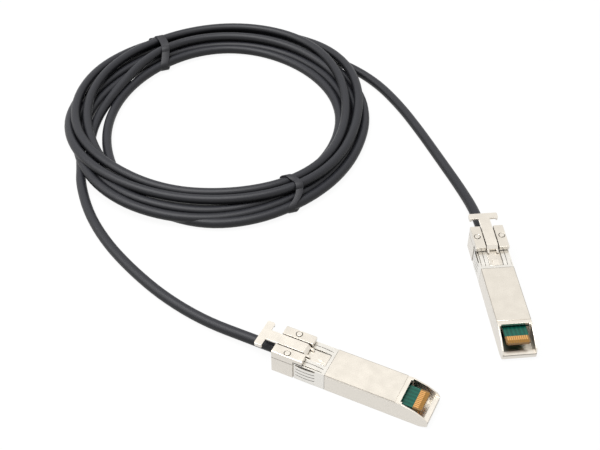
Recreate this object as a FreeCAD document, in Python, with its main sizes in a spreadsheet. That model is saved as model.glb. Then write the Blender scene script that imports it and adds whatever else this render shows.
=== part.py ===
import FreeCAD, Part
import math
import os
import Sketcher
from FreeCAD import Placement, Rotation, Vector

# Direct attach copper cable: two pluggable modules on one twin-axial cable, coiled and tied.
# Units are millimetres. Both plugs lie label side down, latch side up.
# The part's frame: the origin is plug A's latch shoulder, on its label face; +X runs along
# plug A towards its nose, +Z points up. Each plug is drawn in that same local frame.

doc = FreeCAD.newDocument("direct_attach_cable")

OVERCUT = 0.1           # how far a cut runs past the face it opens
SAME_PLACE = 0.01       # two coordinates closer than this are the same
CORNER_GROWTH = 2 - math.sqrt(2)    # growth of a corner cut when its outline grows by one
ARC_SHARE = 0.45        # share of the shorter run that an arc of a tube takes
CABLE_FLATS = 16        # flats round the tube of a lead
PAIR_FLATS = 8          # flats round a twin-axial pair
BELLY_FINGERS = 2       # fingers on the latch face, on each side of the raised strip
SIDE_FINGERS = 4        # fingers on each side
PADS_PER_FACE = 10
CAPACITORS = 4

DRIVING_SIZES = [
    ("nose_x", 45.0, "latch shoulder to the nose end"),
    ("opening_x", 34.6, "latch shoulder to the start of the contact opening"),
    ("board_end_x", 41.8, "latch shoulder to the board's end"),
    ("cover_end_x", 32.2, "latch shoulder to the cover's front end"),
    ("head_rear_x", -17.0, "rear face of the head"),
    ("head_front_x", -8.2, "front of the head's sides, where the spring collar starts"),
    ("rail_front_x", -4.5, "front end of the two guide rails"),
    ("collar_front_x", 4.6, "front end of the spring collar's seat"),
    ("body_width", 13.4, "width of the body that enters the port"),
    ("body_height", 8.5, "height of the body that enters the port"),
    ("head_step", 0.15, "how far the head stands out of the body on each side"),
    ("rail_height", 2.5, "height of the guide rails over the latch face"),
    ("side_wall", 0.9, "side wall of the base shell"),
    ("floor_wall", 1.0, "floor of the base shell"),
    ("cover_wall", 1.0, "thickness of the cover plate"),
    ("rear_wall", 2.5, "rear wall of the base shell"),
    ("nose_lip", 2.0, "length of the lip across the nose"),
    ("lip_height", 3.25, "height of the lip across the nose"),
    ("nose_step", 0.15, "drop from the cover's face to the nose's edges"),
    ("nose_rake_height", 1.1, "height of the slope under the nose"),
    ("nose_rake_length", 2.9, "length of the slope under the nose"),
    ("brow_length", 1.2, "length of the steep front end of the nose's sides"),
    ("brow_rise", 1.65, "rise of the steep front end of the nose's sides above the lip"),
    ("crest_length", 5.0, "nose end to where its sides start to fall faster"),
    ("crest_drop", 1.45, "fall of the nose's sides from the opening to that place"),
    ("bar_length", 1.7, "length of the bar behind the contact opening"),
    ("bar_height", 1.1, "height of the bar behind the contact opening"),
    ("ear_width", 0.4, "width of the corner ears of the opening"),
    ("nose_wall", 0.55, "side wall beside the contact opening"),
    ("nose_round", 0.5, "rounding of the nose's two upright corners"),
    ("seat_depth", 0.3, "depth of the collar's seat in the shells"),
    ("fit_gap", 0.02, "gap between pieces that seat on each other"),
    ("floor_gap", 0.05, "gap between the cable's tube and the table"),
    ("slide_gap", 0.1, "gap round the latch lever's guides"),
    ("collar_gap", 0.5, "gap between the head and the spring collar"),
    ("board_side_gap", 0.2, "gap between the board's edges and the side walls"),
    ("tongue_step", 1.0, "how much narrower the contact tongue is on each side"),
    ("board_wall", 1.0, "thickness of the board"),
    ("board_drop", 2.25, "depth of the board's face below the latch side"),
    ("board_rear_x", 8.0, "rear edge of the board"),
    ("tongue_rear_x", 33.2, "rear end of the contact tongue"),
    ("board_corner", 0.6, "corner cut of the contact tongue"),
    ("rail_seat", 1.2, "width of the ledges under the board's edges"),
    ("ledge_setback", 2.0, "board's rear edge to the ledges and ribs that hold it"),
    ("rib_wall", 0.7, "width of the cover's ribs over the board's edges"),
    ("rib_inset", 0.1, "board's edge to the cover's ribs"),
    ("rib_setback", 3.0, "contact tongue to the front ends of the cover's ribs"),
    ("pad_pitch", 0.8, "spacing of the contact pads"),
    ("pad_width", 0.55, "width of a contact pad"),
    ("pad_length", 3.3, "length of a contact pad"),
    ("pad_wall", 0.05, "thickness of a contact pad"),
    ("pad_inset", 0.25, "board end to the pads"),
    ("chip_length", 5.0, "length of the memory chip"),
    ("chip_width", 4.4, "width of the memory chip"),
    ("chip_wall", 1.0, "thickness of the memory chip"),
    ("chip_x", 16.0, "rear edge of the memory chip"),
    ("chip_chamfer", 0.2, "chamfer of the memory chip"),
    ("capacitor_length", 1.0, "length of a coupling capacitor"),
    ("capacitor_width", 0.5, "width and height of a coupling capacitor"),
    ("capacitor_pitch", 1.8, "spacing of the coupling capacitors"),
    ("capacitor_x", 26.0, "rear edge of the coupling capacitors"),
    ("lever_sheet", 0.8, "thickness of the latch lever"),
    ("lever_width", 4.6, "width of the latch lever's stem"),
    ("lever_rear_x", -24.6, "rear edge of the latch lever's crossbar"),
    ("crossbar_length", 3.1, "length of the crossbar along the plug"),
    ("crossbar_width", 12.0, "width of the crossbar across the plug"),
    ("crossbar_lip", 0.8, "turned-down lip at each end of the crossbar"),
    ("crossbar_round", 0.6, "corner radius of the crossbar"),
    ("lever_tip_x", -3.3, "tips of the latch lever's tines"),
    ("lever_bend_length", 2.7, "tips of the tines to the start of the lever's step down"),
    ("lever_bend_run", 1.1, "length of the lever's step down"),
    ("lever_bend_setback", 0.5, "how far the step starts sooner on the lever's underside"),
    ("tine_bevel", 0.6, "length of the bevel on the tines' tips"),
    ("tine_edge", 0.2, "thickness left at the tines' tips"),
    ("tine_gap", 2.9, "gap between the tines"),
    ("tine_lift", 0.25, "gap between the tines and the latch face"),
    ("lever_travel", 2.5, "travel of the latch lever towards the port"),
    ("foot_rear_x", -13.8, "rear end of the lever's guide feet"),
    ("foot_length", 4.0, "length of the lever's guide feet"),
    ("foot_reach", 1.0, "how far a foot reaches out of the stem"),
    ("foot_wall", 0.6, "height of a foot"),
    ("foot_lift", 0.45, "height of a foot's underside over the latch face"),
    ("channel_gap", 0.5, "gap between the stem and each guide rail"),
    ("overhang_lift", 0.6, "height of the rails' underside over the latch face"),
    ("rail_round", 0.3, "rounding of the rails' outer edges"),
    ("boss_length", 2.6, "length of the latch boss"),
    ("boss_width", 2.6, "width of the latch boss"),
    ("boss_height", 0.45, "height of the latch boss"),
    ("boss_flat", 0.9, "flat length on top of the latch boss"),
    ("rivet_x", -11.1, "place of the rivets along the plug"),
    ("rivet_inset", 1.75, "distance of each rivet from the head's side"),
    ("rivet_shank", 0.8, "radius of a rivet's shank"),
    ("rivet_head", 1.05, "radius of a rivet's head"),
    ("rivet_ring", 0.3, "width of the groove round a rivet's head"),
    ("rivet_head_wall", 0.5, "height of a rivet's head"),
    ("rivet_stand", 0.12, "how far a rivet's head stands out of the rail"),
    ("rivet_depth", 9.0, "length of a rivet"),
    ("post_wall", 0.6, "wall of the posts round the rivets"),
    ("collar_sheet", 0.25, "thickness of the spring collar"),
    ("collar_return", 1.8, "width of the collar's returns under the shell"),
    ("collar_band", 1.2, "length of the collar's front band"),
    ("finger_root", 0.3, "how far a finger's ends lie on the sheet"),
    ("belly_edge", 0.67, "collar's side to the outer finger on the latch face"),
    ("belly_finger_gap", 0.3, "raised strip to the first finger on the latch face"),
    ("belly_slot", 0.15, "gap beside the outer fingers on the latch face"),
    ("belly_finger_width", 1.4, "width of a finger on the latch face"),
    ("belly_finger_pitch", 1.65, "spacing of the fingers on the latch face"),
    ("belly_finger_tip_x", 3.3, "tips of the fingers on the latch face"),
    ("belly_finger_root_x", -6.9, "roots of the fingers on the latch face"),
    ("belly_bow", 0.55, "height of the bow of the fingers on the latch face"),
    ("side_slot", 0.2, "gap below the lowest finger on the side"),
    ("side_crown", 0.3, "latch face to the top of the side's opening"),
    ("side_finger_width", 1.4, "width of a finger on the side"),
    ("side_finger_pitch", 1.7, "spacing of the fingers on the side"),
    ("side_finger_first_z", 1.0, "lower edge of the lowest finger on the side"),
    ("side_finger_rear_x", -7.1, "rear ends of the fingers on the side"),
    ("side_finger_front_x", 0.7, "front ends of the fingers on the side"),
    ("side_bow", 0.4, "height of the bow of the fingers on the side"),
    ("cable_radius", 2.2, "radius of the cable's jacket"),
    ("cable_lift", 0.15, "height of the cable's axis over the middle of the plug's hollow"),
    ("jacket_end_x", -9.0, "end of the cable's jacket inside the plug"),
    ("slot_gap", 0.05, "gap round the cable in the rear wall"),
    ("braid_wall", 0.2, "thickness of the folded braid"),
    ("braid_length", 4.4, "length of the folded braid"),
    ("ferrule_wall", 0.4, "wall of the crimp ferrule"),
    ("ferrule_length", 3.6, "length of the crimp ferrule"),
    ("ferrule_setback", 0.4, "jacket's end to the crimp ferrule"),
    ("ferrule_bell", 0.2, "cradle's end to the start of the ferrule's flare"),
    ("ferrule_flare", 0.15, "flare of the crimp ferrule's mouths"),
    ("cradle_length", 2.4, "length of the cradle round the ferrule"),
    ("cradle_width", 7.2, "width of the cover's cradle"),
    ("clamp_lift", 0.5, "cable's axis to the cover's block over the cable's slot"),
    ("pair_radius", 0.55, "radius of a twin-axial pair"),
    ("pair_start_spread", 0.9, "distance of each pair from the middle at the jacket's end"),
    ("pair_spread", 1.6, "distance of each pair from the middle on the board"),
    ("pair_run", 5.0, "straight length of each pair at the jacket and before the board"),
    ("pair_end_x", 12.0, "soldered ends of the twin-axial pairs"),
    ("lead_straight", 12.0, "length of the cable that runs straight out of each plug"),
    ("plug_b_x", 41.87, "plug B's latch shoulder along plug A"),
    ("plug_b_y", 76.46, "plug B's latch shoulder across plug A"),
    ("plug_b_turn", -58.8, "turn of plug B about the upright, in degrees"),
    ("coil_x", -105.9, "middle of the coil along plug A"),
    ("coil_y", 114.5, "middle of the coil across plug A"),
    ("coil_radius", 62.9, "mean radius of the coil"),
    ("coil_width", 18.4, "width of the coil's bundle"),
    ("coil_height", 10.4, "height of the coil's bundle"),
    ("coil_corner", 2.0, "corner cut of the coil's bundle"),
    ("tie_width", 4.0, "width of a tie"),
    ("tie_wall", 0.8, "thickness of a tie"),
    ("tie_first_angle", 147.9, "direction of the first tie from the coil's middle, in degrees"),
    ("tie_second_angle", -31.5, "direction of the second tie from the coil's middle, in degrees"),
]

sheet = doc.addObject("Spreadsheet::Sheet", "Sizes")
for row, (alias, number, note) in enumerate(DRIVING_SIZES, start=1):
    sheet.set("A%d" % row, note)
    sheet.set("B%d" % row, str(number))
    sheet.setAlias("B%d" % row, alias)
doc.recompute()


class Size:
    """A number of the model with the spreadsheet expression that gives it."""

    def __init__(self, number, text):
        self.number = number
        self.text = text

    @staticmethod
    def of(other):
        if isinstance(other, Size):
            return other
        return Size(float(other), "(%r)" % float(other))

    def __add__(self, other):
        other = Size.of(other)
        return Size(self.number + other.number, "(%s + %s)" % (self.text, other.text))

    def __sub__(self, other):
        other = Size.of(other)
        return Size(self.number - other.number, "(%s - %s)" % (self.text, other.text))

    def __mul__(self, other):
        other = Size.of(other)
        return Size(self.number * other.number, "(%s * %s)" % (self.text, other.text))

    def __truediv__(self, other):
        other = Size.of(other)
        return Size(self.number / other.number, "(%s / %s)" % (self.text, other.text))

    def __neg__(self):
        return Size(-self.number, "(0 - %s)" % self.text)

    def __radd__(self, other):
        return Size.of(other) + self

    def __rsub__(self, other):
        return Size.of(other) - self

    def __rmul__(self, other):
        return Size.of(other) * self

    def squared(self):
        return self * self


def size(alias):
    """The driving dimension with this alias."""
    return Size(float(sheet.get(alias)), "Sizes.%s" % alias)


def bind(obj, prop, value):
    obj.setExpression(prop, Size.of(value).text)


# Values that several pieces share, each worked out from the driving dimensions.

half_body = size("body_width") / 2
half_head = half_body + size("head_step")
latch_face_z = size("body_height")
parting_z = latch_face_z - size("cover_wall")
edge_z = latch_face_z - size("nose_step")
head_top_z = latch_face_z + size("rail_height")
cable_z = (size("floor_wall") + parting_z) / 2 + size("cable_lift")
cavity_y = half_body - size("side_wall")
nose_y = half_body - size("nose_wall")
seat_y = half_body - size("seat_depth")
seat_z = latch_face_z - size("seat_depth")
lip_x = size("nose_x") - size("nose_lip")
bar_front_x = size("cover_end_x") + size("bar_length")
cavity_rear_x = size("head_rear_x") + size("rear_wall")
board_high_z = latch_face_z - size("board_drop")
board_low_z = board_high_z - size("board_wall")
half_board = cavity_y - size("board_side_gap")
half_lever = size("lever_width") / 2
channel_y = half_lever + size("channel_gap")
lever_low_z = head_top_z - size("lever_sheet")
foot_low_z = latch_face_z + size("foot_lift")
foot_high_z = foot_low_z + size("foot_wall")
foot_front_x = size("foot_rear_x") + size("foot_length")
foot_y = half_lever + size("foot_reach")
groove_rear_x = size("foot_rear_x") - size("slide_gap")
groove_front_x = foot_front_x + size("lever_travel") + size("slide_gap")
overhang_z = latch_face_z + size("overhang_lift")
slot_radius = size("cable_radius") + size("slot_gap")
braid_in = size("cable_radius") + size("fit_gap")
braid_out = braid_in + size("braid_wall")
ferrule_in = braid_out + size("fit_gap")
ferrule_out = ferrule_in + size("ferrule_wall")
ferrule_middle_x = size("jacket_end_x") - size("ferrule_setback") - size("ferrule_length") / 2
cradle_bore = ferrule_out + size("fit_gap")
cradle_rear_x = ferrule_middle_x - size("cradle_length") / 2
cradle_front_x = ferrule_middle_x + size("cradle_length") / 2
rivet_hole = size("rivet_shank") + size("fit_gap")
rivet_pocket = size("rivet_head") + size("rivet_ring")
rivet_seat_z = head_top_z + size("rivet_stand") - size("rivet_head_wall")
rivet_low_z = head_top_z + size("rivet_stand") - size("rivet_depth")
rivet_y = half_head - size("rivet_inset")
ledge_rear_x = size("board_rear_x") + size("ledge_setback")
collar_y = seat_y + size("fit_gap")
collar_out_y = collar_y + size("collar_sheet")
last_finger_y = collar_out_y - size("belly_edge")
first_finger_y = (last_finger_y - size("belly_finger_width")
                  - (BELLY_FINGERS - 1) * size("belly_finger_pitch"))
half_spine = first_finger_y - size("belly_finger_gap")
collar_z = seat_z + size("fit_gap")
collar_out_z = collar_z + size("collar_sheet")
collar_low_z = size("seat_depth") - size("fit_gap") - size("collar_sheet")
collar_rear_x = size("head_front_x") + size("collar_gap")
collar_end_x = size("collar_front_x") - size("slide_gap")

PLUG_PLACES = {
    "a": Placement(),
    "b": Placement(Vector(size("plug_b_x").number, size("plug_b_y").number, 0),
                   Rotation(Vector(0, 0, 1), size("plug_b_turn").number)),
}

nodes = []


def finish(obj, name, place=None):
    """Name a finished sub-part, set it in its place and list it for export."""
    obj.Label = name
    if place is not None:
        obj.Placement = place
    nodes.append(obj)
    return obj


# Sketches and features

def new_body(name):
    return doc.addObject("PartDesign::Body", name)


def sketch_on(body, role, offset=0.0):
    """A sketch on one of the body's own origin planes, moved along that plane's normal."""
    plane = [item for item in body.Origin.OriginFeatures if item.Role == role][0]
    sketch = body.newObject("Sketcher::SketchObject", "Sketch")
    sketch.AttachmentSupport = (plane, [""])
    sketch.MapMode = "FlatFace"
    bind(sketch, "AttachmentOffset.Base.z", offset)
    return sketch


def fix(sketch, kind, geometry, end, value):
    """Hold one coordinate of a sketch point at a size."""
    value = Size.of(value)
    index = sketch.addConstraint(
        Sketcher.Constraint(kind, -1, 1, geometry, end, value.number))
    sketch.setExpression("Constraints[%d]" % index, value.text)


def outline(sketch, points):
    """A closed outline of straight lines, each corner held at its two sizes."""
    points = [(Size.of(across), Size.of(up)) for across, up in points]
    first = sketch.GeometryCount
    count = len(points)
    for index in range(count):
        start = points[index]
        end = points[(index + 1) % count]
        sketch.addGeometry(Part.LineSegment(Vector(start[0].number, start[1].number, 0),
                                            Vector(end[0].number, end[1].number, 0)), False)
    for index in range(count):
        following = first + (index + 1) % count
        sketch.addConstraint(Sketcher.Constraint("Coincident", first + index, 2, following, 1))
    for index, (across, up) in enumerate(points):
        fix(sketch, "DistanceX", first + index, 1, across)
        fix(sketch, "DistanceY", first + index, 1, up)
    return sketch


def rectangle(sketch, low_across, high_across, low_up, high_up):
    return outline(sketch, [(low_across, low_up), (high_across, low_up),
                            (high_across, high_up), (low_across, high_up)])


def circle(sketch, across, up, radius):
    across = Size.of(across)
    up = Size.of(up)
    radius = Size.of(radius)
    index = sketch.addGeometry(
        Part.Circle(Vector(across.number, up.number, 0), Vector(0, 0, 1), radius.number), False)
    held = sketch.addConstraint(Sketcher.Constraint("Radius", index, radius.number))
    sketch.setExpression("Constraints[%d]" % held, radius.text)
    fix(sketch, "DistanceX", index, 3, across)
    fix(sketch, "DistanceY", index, 3, up)
    return sketch


def bow(sketch, low, high, rest, rise, sheet_wall):
    """A bowed strip of sheet seen from its edge: two arcs about one centre, and two ends.

    It runs from low to high, lies at rest at both ends and rises by rise in the middle."""
    low = Size.of(low)
    high = Size.of(high)
    side = 1.0 if rise.number > 0 else -1.0
    chord = (high - low) / 2
    radius = (chord.squared() + rise.squared()) / (2 * side * rise)
    middle = (low + high) / 2
    centre = rest + rise - side * radius
    spread = math.asin(chord.number / radius.number)
    heading = math.copysign(math.pi / 2, side)
    hub = Vector(middle.number, centre.number, 0)
    arcs = []
    for reach in (radius, radius - sheet_wall):
        ring = Part.Circle(hub, Vector(0, 0, 1), reach.number)
        arc = Part.ArcOfCircle(ring, heading - spread, heading + spread)
        index = sketch.addGeometry(arc, False)
        held = sketch.addConstraint(Sketcher.Constraint("Radius", index, reach.number))
        sketch.setExpression("Constraints[%d]" % held, reach.text)
        arcs.append(index)
    outer, inner = arcs
    for end in (1, 2):
        begin = sketch.getPoint(outer, end)
        finish_point = sketch.getPoint(inner, end)
        line = sketch.addGeometry(Part.LineSegment(begin, finish_point), False)
        sketch.addConstraint(Sketcher.Constraint("Coincident", line, 1, outer, end))
        sketch.addConstraint(Sketcher.Constraint("Coincident", line, 2, inner, end))
    sketch.addConstraint(Sketcher.Constraint("Coincident", inner, 3, outer, 3))
    fix(sketch, "DistanceX", outer, 3, middle)
    fix(sketch, "DistanceY", outer, 3, centre)
    for index in arcs:
        for end in (1, 2):
            point = sketch.getPoint(index, end)
            fix(sketch, "DistanceX", index, end, low if point.x < middle.number else high)
    return sketch


def pad(body, sketch, length, both_ways=False, against=False):
    feature = body.newObject("PartDesign::Pad", "Pad")
    feature.Profile = sketch
    feature.Midplane = both_ways
    feature.Reversed = against
    bind(feature, "Length", length)
    return feature


def pocket(body, sketch, length, both_ways=False, against=False):
    feature = body.newObject("PartDesign::Pocket", "Pocket")
    feature.Profile = sketch
    feature.Midplane = both_ways
    feature.Reversed = against
    bind(feature, "Length", length)
    return feature


def block(body, low, high, cut=False):
    """Add or cut a block, given by its low and high corners."""
    sketch = sketch_on(body, "XY_Plane", low[2])
    rectangle(sketch, low[0], high[0], low[1], high[1])
    height = Size.of(high[2]) - low[2]
    if cut:
        return pocket(body, sketch, height, against=True)
    return pad(body, sketch, height)


def block_pair(body, low, high, cut=False):
    """Two like blocks, one each side of the plug's middle; low and high are of the left one."""
    sketch = sketch_on(body, "XY_Plane", low[2])
    rectangle(sketch, low[0], high[0], low[1], high[1])
    rectangle(sketch, low[0], high[0], -Size.of(high[1]), -Size.of(low[1]))
    height = Size.of(high[2]) - low[2]
    if cut:
        return pocket(body, sketch, height, against=True)
    return pad(body, sketch, height)


def bore_along(body, low_x, high_x, radius):
    """Cut a round hole along the plug, on the cable's axis."""
    sketch = sketch_on(body, "YZ_Plane", low_x)
    circle(sketch, 0.0, cable_z, radius)
    return pocket(body, sketch, Size.of(high_x) - low_x, against=True)


def bore_pair(body, low_z, high_z, radius):
    """Cut two upright round holes, at the places of the rivets."""
    sketch = sketch_on(body, "XY_Plane", low_z)
    for side in (1.0, -1.0):
        circle(sketch, size("rivet_x"), side * rivet_y, radius)
    return pocket(body, sketch, Size.of(high_z) - low_z, against=True)


def edges_where(shape, test):
    """Names of the straight edges whose two ends both pass a test."""
    found = []
    for number, edge in enumerate(shape.Edges, start=1):
        if len(edge.Vertexes) == 2 and isinstance(edge.Curve, Part.Line):
            if all(test(vertex.Point) for vertex in edge.Vertexes):
                found.append("Edge%d" % number)
    return found


def round_edges(body, names, radius):
    base = body.Tip
    fillet = body.newObject("PartDesign::Fillet", "Fillet")
    fillet.Base = (base, names)
    bind(fillet, "Radius", radius)
    return fillet


def near(first, second):
    return abs(first - second) < SAME_PLACE


# Plug pieces

def base_shell(name):
    """The label-side shell: floor, side walls, nose and the cradle for the cable."""
    body = new_body(name)
    head = sketch_on(body, "YZ_Plane", size("head_rear_x"))
    rectangle(head, -half_head, half_head, 0.0, parting_z)
    pad(body, head, size("head_front_x") - size("head_rear_x"))

    neck = sketch_on(body, "YZ_Plane", size("head_front_x"))
    return_y = collar_out_y - size("collar_return") - size("slide_gap")
    outline(neck, [(-return_y, 0.0), (return_y, 0.0),
                   (return_y, size("seat_depth")), (seat_y, size("seat_depth")),
                   (seat_y, parting_z), (-seat_y, parting_z),
                   (-seat_y, size("seat_depth")), (-return_y, size("seat_depth"))])
    pad(body, neck, size("collar_front_x") - size("head_front_x"))

    side = sketch_on(body, "XZ_Plane")
    crest_x = size("nose_x") - size("crest_length")
    outline(side, [(size("collar_front_x"), 0.0),
                   (size("nose_x") - size("nose_rake_length"), 0.0),
                   (size("nose_x"), size("nose_rake_height")),
                   (size("nose_x"), size("lip_height")),
                   (size("nose_x") - size("brow_length"), size("lip_height") + size("brow_rise")),
                   (crest_x, edge_z - size("crest_drop")),
                   (size("opening_x"), edge_z),
                   (size("cover_end_x"), edge_z),
                   (size("cover_end_x"), parting_z),
                   (size("collar_front_x"), parting_z)])
    pad(body, side, size("body_width"), both_ways=True)

    high_z = head_top_z
    block(body, (cavity_rear_x, -cavity_y, size("floor_wall")),
          (lip_x, cavity_y, high_z), cut=True)
    block(body, (size("opening_x"), -nose_y, size("floor_wall")),
          (lip_x, nose_y, high_z), cut=True)
    block(body, (crest_x, -nose_y, size("lip_height")),
          (size("nose_x") + OVERCUT, nose_y, high_z), cut=True)
    block(body, (size("cover_end_x"), -cavity_y, edge_z - size("bar_height")),
          (bar_front_x, cavity_y, edge_z))
    block_pair(body, (bar_front_x, cavity_y - size("ear_width"), edge_z - size("bar_height")),
               (size("opening_x"), cavity_y, edge_z))
    ledge_front_x = size("tongue_rear_x") - size("fit_gap")
    block_pair(body, (ledge_rear_x, cavity_y - size("rail_seat"), size("floor_wall")),
               (ledge_front_x, cavity_y, board_low_z - size("fit_gap")))
    block(body, (cradle_rear_x, -cavity_y, size("floor_wall")),
          (cradle_front_x, cavity_y, cable_z))
    bore_along(body, cradle_rear_x - OVERCUT, cradle_front_x + OVERCUT, cradle_bore)
    post_reach = size("rivet_shank") + size("post_wall")
    block_pair(body, (size("rivet_x") - post_reach, rivet_y - post_reach,
                      size("floor_wall")),
               (size("rivet_x") + post_reach, cavity_y, parting_z))
    bore_pair(body, rivet_low_z - size("fit_gap"), high_z, rivet_hole)
    bore_along(body, size("head_rear_x") - OVERCUT, cavity_rear_x + OVERCUT, slot_radius)
    block(body, (size("head_rear_x") - OVERCUT, -slot_radius, cable_z),
          (cavity_rear_x + OVERCUT, slot_radius, high_z), cut=True)
    doc.recompute()

    half_wide = half_body.number
    corner_x = size("nose_x").number

    def nose_corner(point):
        return near(point.x, corner_x) and near(abs(point.y), half_wide)

    round_edges(body, edges_where(body.Shape, nose_corner), size("nose_round"))
    return body


def cover_shell(name):
    """The latch-side shell: plate, guide rails, latch boss and the cable clamp."""
    body = new_body(name)
    block(body, (size("head_rear_x"), -half_head, parting_z),
          (size("head_front_x"), half_head, latch_face_z))
    block(body, (size("head_front_x"), -seat_y, parting_z),
          (size("collar_front_x"), seat_y, seat_z))
    block(body, (size("collar_front_x"), -half_body, parting_z),
          (size("cover_end_x"), half_body, latch_face_z))
    spine_front_x = collar_end_x - size("collar_band") - size("slide_gap")
    block(body, (size("head_front_x"), -half_spine, seat_z),
          (spine_front_x, half_spine, latch_face_z))

    block_pair(body, (size("head_rear_x"), channel_y, latch_face_z),
               (size("head_front_x"), half_head, head_top_z))
    block_pair(body, (size("head_front_x"), channel_y, overhang_z),
               (size("rail_front_x"), half_head, head_top_z))
    block_pair(body, (groove_rear_x, channel_y - OVERCUT, foot_low_z - size("slide_gap")),
               (groove_front_x, foot_y + size("slide_gap"), foot_high_z + size("slide_gap")),
               cut=True)

    boss = sketch_on(body, "XZ_Plane")
    boss_z = latch_face_z + size("boss_height")
    outline(boss, [(0.0, latch_face_z), (0.0, boss_z), (size("boss_flat"), boss_z),
                   (size("boss_length"), latch_face_z)])
    pad(body, boss, size("boss_width"), both_ways=True)

    tongue_y = slot_radius - size("fit_gap")
    block(body, (size("head_rear_x"), -tongue_y, cable_z + size("clamp_lift")),
          (cavity_rear_x, tongue_y, parting_z))
    half_cradle = size("cradle_width") / 2
    block(body, (cradle_rear_x, -half_cradle, cable_z + size("fit_gap")),
          (cradle_front_x, half_cradle, parting_z))
    bore_along(body, cradle_rear_x - OVERCUT, cradle_front_x + OVERCUT, cradle_bore)
    bore_along(body, size("head_rear_x") - OVERCUT, cavity_rear_x + OVERCUT, slot_radius)

    rib_y = half_board - size("rib_inset")
    block_pair(body, (ledge_rear_x, rib_y - size("rib_wall"), board_high_z + size("fit_gap")),
               (size("tongue_rear_x") - size("rib_setback"), rib_y, parting_z))
    bore_pair(body, rivet_low_z - size("fit_gap"), head_top_z + OVERCUT, rivet_hole)
    bore_pair(body, rivet_seat_z - size("fit_gap"), head_top_z + OVERCUT, rivet_pocket)
    doc.recompute()

    rail_top = head_top_z.number
    rail_side = half_head.number

    def rail_edge(point):
        return near(point.z, rail_top) and near(abs(point.y), rail_side)

    round_edges(body, edges_where(body.Shape, rail_edge), size("rail_round"))
    return body


def spring_collar(name):
    """The sheet collar that clips round the neck, with its bowed spring fingers."""
    body = new_body(name)
    return_y = collar_out_y - size("collar_return")
    wrap = sketch_on(body, "YZ_Plane", collar_rear_x)
    outline(wrap, [(-return_y, collar_low_z), (-collar_out_y, collar_low_z),
                   (-collar_out_y, collar_out_z), (collar_out_y, collar_out_z),
                   (collar_out_y, collar_low_z), (return_y, collar_low_z),
                   (return_y, collar_low_z + size("collar_sheet")),
                   (collar_y, collar_low_z + size("collar_sheet")),
                   (collar_y, collar_z), (-collar_y, collar_z),
                   (-collar_y, collar_low_z + size("collar_sheet")),
                   (-return_y, collar_low_z + size("collar_sheet"))])
    pad(body, wrap, collar_end_x - collar_rear_x)

    # The belly is open between the fingers and round the latch boss.
    band_x = collar_end_x - size("collar_band")
    window_y = half_spine + size("slide_gap")
    block(body, (collar_rear_x - OVERCUT, -window_y, collar_z - OVERCUT),
          (band_x, window_y, collar_out_z + OVERCUT), cut=True)
    root_x = size("belly_finger_root_x")
    block_pair(body, (root_x, first_finger_y - size("belly_slot"), collar_z - OVERCUT),
               (band_x, last_finger_y + size("belly_slot"), collar_out_z + OVERCUT), cut=True)

    # The sides are open behind their fingers.
    rear_x = size("side_finger_rear_x")
    side_window = sketch_on(body, "XZ_Plane")
    rectangle(side_window, rear_x, size("side_finger_front_x"),
              size("side_finger_first_z") - size("side_slot"), latch_face_z - size("side_crown"))
    pocket(body, side_window, 2 * (collar_out_y + OVERCUT), both_ways=True)

    for index in range(BELLY_FINGERS):
        start_y = first_finger_y + index * size("belly_finger_pitch")
        for side in (1.0, -1.0):
            edge_y = start_y + size("belly_finger_width") if side > 0 else -start_y
            finger = sketch_on(body, "XZ_Plane", -edge_y)
            bow(finger, root_x - size("finger_root"), size("belly_finger_tip_x"), collar_out_z,
                size("belly_bow"), size("collar_sheet"))
            pad(body, finger, size("belly_finger_width"))

    for index in range(SIDE_FINGERS):
        low_z = size("side_finger_first_z") + index * size("side_finger_pitch")
        for side in (1.0, -1.0):
            finger = sketch_on(body, "XY_Plane", low_z)
            bow(finger, rear_x - size("finger_root"),
                size("side_finger_front_x") + size("finger_root"),
                side * collar_out_y, side * size("side_bow"), size("collar_sheet"))
            pad(body, finger, size("side_finger_width"))
    return body


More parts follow.
